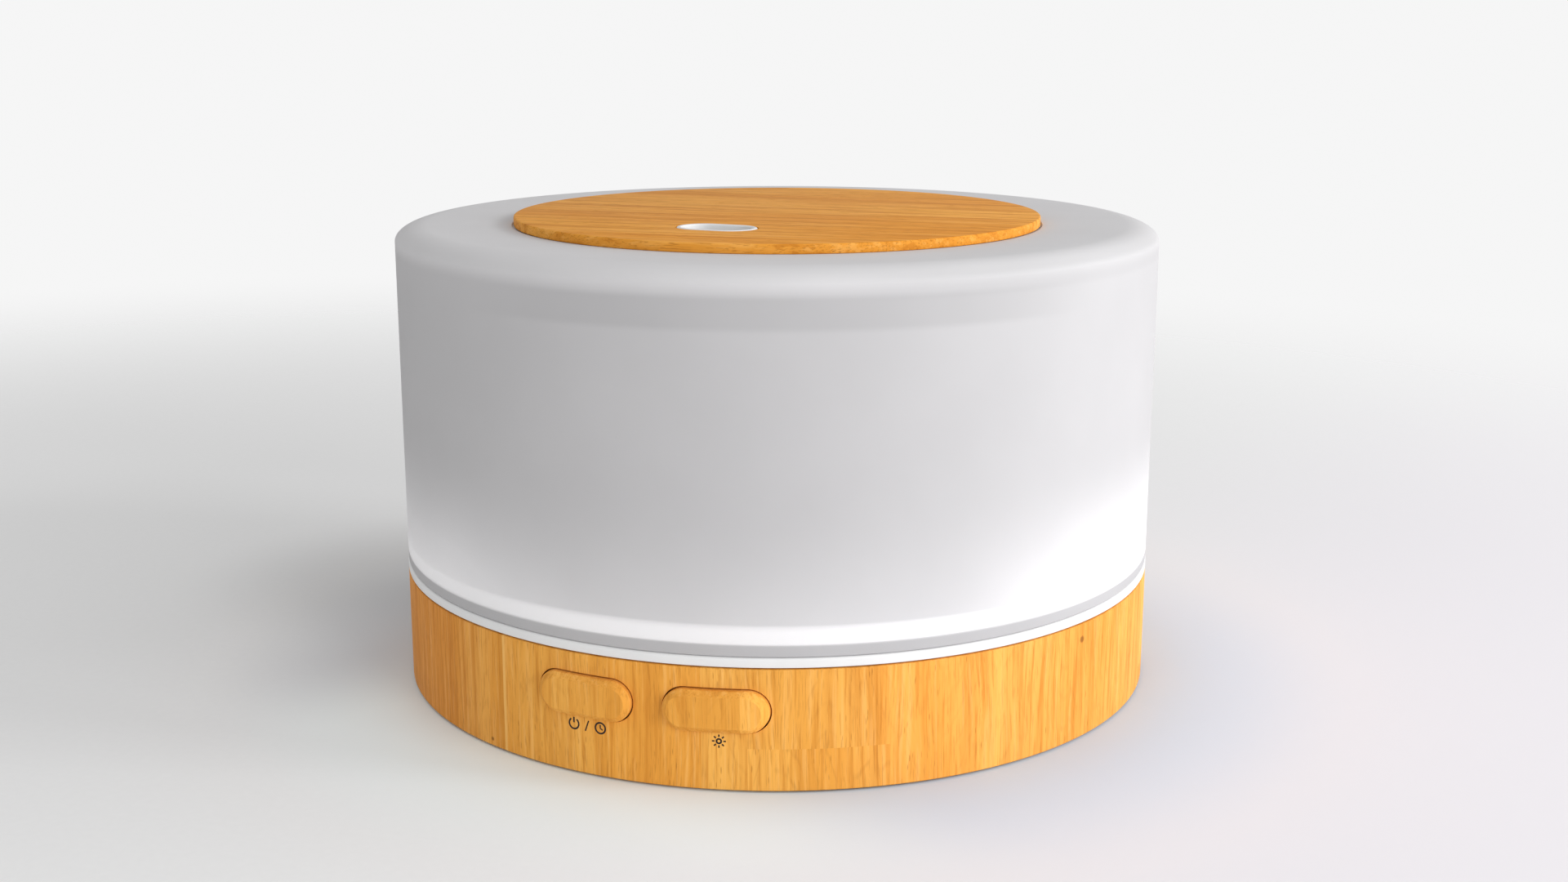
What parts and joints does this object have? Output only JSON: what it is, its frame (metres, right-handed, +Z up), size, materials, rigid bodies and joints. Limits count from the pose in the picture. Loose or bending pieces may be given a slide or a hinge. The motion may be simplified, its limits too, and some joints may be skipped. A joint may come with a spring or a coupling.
{
  "type": "essential oil diffuser",
  "caption": "Round ultrasonic aroma diffuser: lift-off frosted cover with a wood-grain disc and mist slot, over a white water tank on a wood-grain base with push buttons.",
  "frame": {"origin": "centre of the footprint, on the surface that the feet stand on", "axes": "+Z up, -Y towards the front with the buttons, +X to the right seen from the front"},
  "size_m": [0.168, 0.1698, 0.1026],
  "materials": {
    "wood_grain": "satin film of light oak grain over moulded plastic",
    "frosted_plastic": "translucent frosted",
    "white_plastic": "smooth semi-gloss",
    "grey_plastic": "moulded satin",
    "black_plastic": "moulded satin",
    "rubber": "matte",
    "silicone": "satin translucent silicone",
    "foam": "open foam",
    "steel": "zinc plated",
    "brass": "plated",
    "aluminium": "extruded",
    "copper": "enamelled winding",
    "circuit_board": "solder mask",
    "lamp": "clear epoxy",
    "red_wire": "smooth insulation",
    "black_wire": "smooth insulation"
  },
  "bodies": {
    "base": {"base_ring": "wood_grain", "water_tank": "white_plastic", "air_outlet_hood": "white_plastic", "bottom_cover": "white_plastic", "atomizer_retainer": "grey_plastic", "air_duct": "grey_plastic", "fan_housing": "black_plastic", "capacitor_1": "black_plastic", "capacitor_2": "black_plastic", "control_chip": "black_plastic", "drive_transistor": "black_plastic", "power_switch": "black_plastic", "light_switch": "black_plastic", "dc_jack": "black_plastic", "rubber_foot_1": "rubber", "rubber_foot_2": "rubber", "rubber_foot_3": "rubber", "rubber_foot_4": "rubber", "atomizer_seal": "silicone", "duct_gasket": "foam", "bottom_screw_1": "steel", "bottom_screw_2": "steel", "bottom_screw_3": "steel", "bottom_screw_4": "steel", "retainer_screw_1": "steel", "retainer_screw_2": "steel", "retainer_screw_3": "steel", "board_screw_1": "steel", "board_screw_2": "steel", "fan_screw_1": "steel", "fan_screw_2": "steel", "atomizer_disc": "brass", "dc_jack_pin": "brass", "heatsink": "aluminium", "drive_coil": "copper", "fan_stator": "copper", "main_board": "circuit_board", "led_board": "circuit_board", "button_board": "circuit_board", "led_1": "lamp", "led_2": "lamp", "led_3": "lamp", "led_4": "lamp", "atomizer_wire": "red_wire", "led_wire": "red_wire", "power_wire": "red_wire", "fan_wire": "black_wire", "button_wire": "black_wire"},
    "cover": {"frosted_cover": "frosted_plastic", "top_plate": "wood_grain", "mist_nozzle": "white_plastic", "mist_chimney": "white_plastic"},
    "power_button": {"power_button": "wood_grain", "power_plunger": "grey_plastic"},
    "light_button": {"light_button": "wood_grain", "light_plunger": "grey_plastic"},
    "fan_rotor": {"fan_rotor": "black_plastic", "fan_shaft": "steel"}
  },
  "joints": [
    {"name": "cover_lift", "type": "slide", "parent": "base", "child": "cover", "axis": [0, 0, 1], "range_m": [0, 0.09]},
    {"name": "power_button_travel", "type": "slide", "parent": "base", "child": "power_button", "axis": [0, 1, 0], "range_m": [0, 0.0008], "stiffness_N_per_m": 1500, "springref_m": -0.0006},
    {"name": "light_button_travel", "type": "slide", "parent": "base", "child": "light_button", "axis": [0, 1, 0], "range_m": [0, 0.0008], "stiffness_N_per_m": 1500, "springref_m": -0.0006},
    {"name": "fan_spin", "type": "hinge", "parent": "base", "child": "fan_rotor", "pos_m": [0.046, 0, 0.0112], "axis": [0, 0, 1], "continuous": true}
  ]
}
